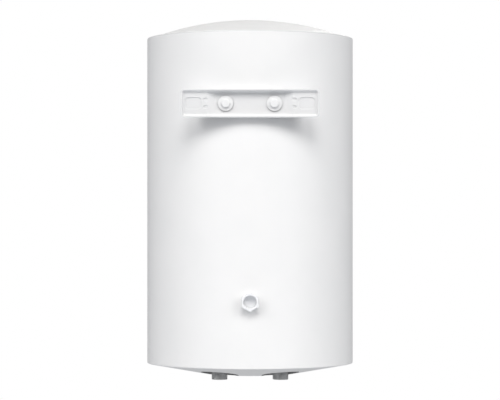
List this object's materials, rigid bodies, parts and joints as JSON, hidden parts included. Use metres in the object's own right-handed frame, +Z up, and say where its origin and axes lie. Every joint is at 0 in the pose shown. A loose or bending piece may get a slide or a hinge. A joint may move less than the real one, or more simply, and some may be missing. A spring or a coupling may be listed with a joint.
{
  "type": "wall-hung electric storage water heater",
  "caption": "Slim upright cylindrical electric water heater with a pressed wall bracket, a wall spacer, bottom pipe nipples in wells and a temperature knob underneath.",
  "frame": {"origin": "middle of the wall bracket's upper rim, on the wall plane", "axes": "+Z up along the tank, -Y towards the wall, +Y towards the room"},
  "size_m": [0.345, 0.358, 0.5956],
  "materials": {
    "white_steel": "satin",
    "white_cover": "satin",
    "grey_knob": "satin",
    "dark_plastic": "matte",
    "red_plastic": "gloss",
    "amber_lens": "gloss",
    "white_nylon": "satin",
    "black_rubber": "matte",
    "pipe_steel": "satin",
    "enamelled_tank": "gloss",
    "zinc_steel": "satin",
    "copper_sheath": "satin",
    "magnesium": "matte",
    "ceramic_bead": "matte",
    "foam": "matte"
  },
  "bodies": {
    "heater": {"outer_jacket": "white_steel", "top_cover": "white_cover", "bottom_cover": "white_cover", "service_cover": "white_cover", "service_screws": "zinc_steel", "wall_bracket": "white_steel", "bracket_bolts": "white_steel", "bracket_bosses": "enamelled_tank", "saddle_plate": "enamelled_tank", "spacer_insert": "white_nylon", "tank_shell": "enamelled_tank", "tank_top_head": "enamelled_tank", "tank_bottom_head": "enamelled_tank", "foam_insulation": "foam", "cold_nipple": "pipe_steel", "hot_nipple": "pipe_steel", "hot_dip_tube": "pipe_steel", "inlet_diffuser": "white_nylon", "pipe_grommets": "black_rubber", "flange_collar": "enamelled_tank", "flange_gasket": "black_rubber", "flange_plate": "zinc_steel", "flange_studs": "zinc_steel", "flange_nuts": "zinc_steel", "heating_element": "copper_sheath", "element_insulators": "ceramic_bead", "element_terminals": "zinc_steel", "anode_rod": "magnesium", "anode_nut": "zinc_steel", "earth_screw": "zinc_steel", "thermostat_pocket": "copper_sheath", "thermostat_probe": "copper_sheath", "thermostat_body": "dark_plastic", "pilot_lamp": "dark_plastic", "lamp_lens": "amber_lens", "lamp_leads": "dark_plastic", "cable_gland": "black_rubber"},
    "knob": {"temperature_knob": "grey_knob", "thermostat_spindle": "zinc_steel"},
    "reset": {"reset_button": "red_plastic"},
    "spacer": {"wall_spacer": "white_cover"}
  },
  "joints": [
    {"name": "knob_turn", "type": "hinge", "parent": "heater", "child": "knob", "pos_m": [0, 0.1975, -0.4539], "axis": [0, 0, 1], "range_deg": [0, 270]},
    {"name": "reset_press", "type": "slide", "parent": "heater", "child": "reset", "axis": [0, 0, 1], "range_m": [0, 0.0015], "stiffness_N_per_m": 2000, "springref_m": -0.0005},
    {"name": "spacer_adjust", "type": "slide", "parent": "heater", "child": "spacer", "axis": [0, -1, 0], "range_m": [0, 0.01]}
  ]
}
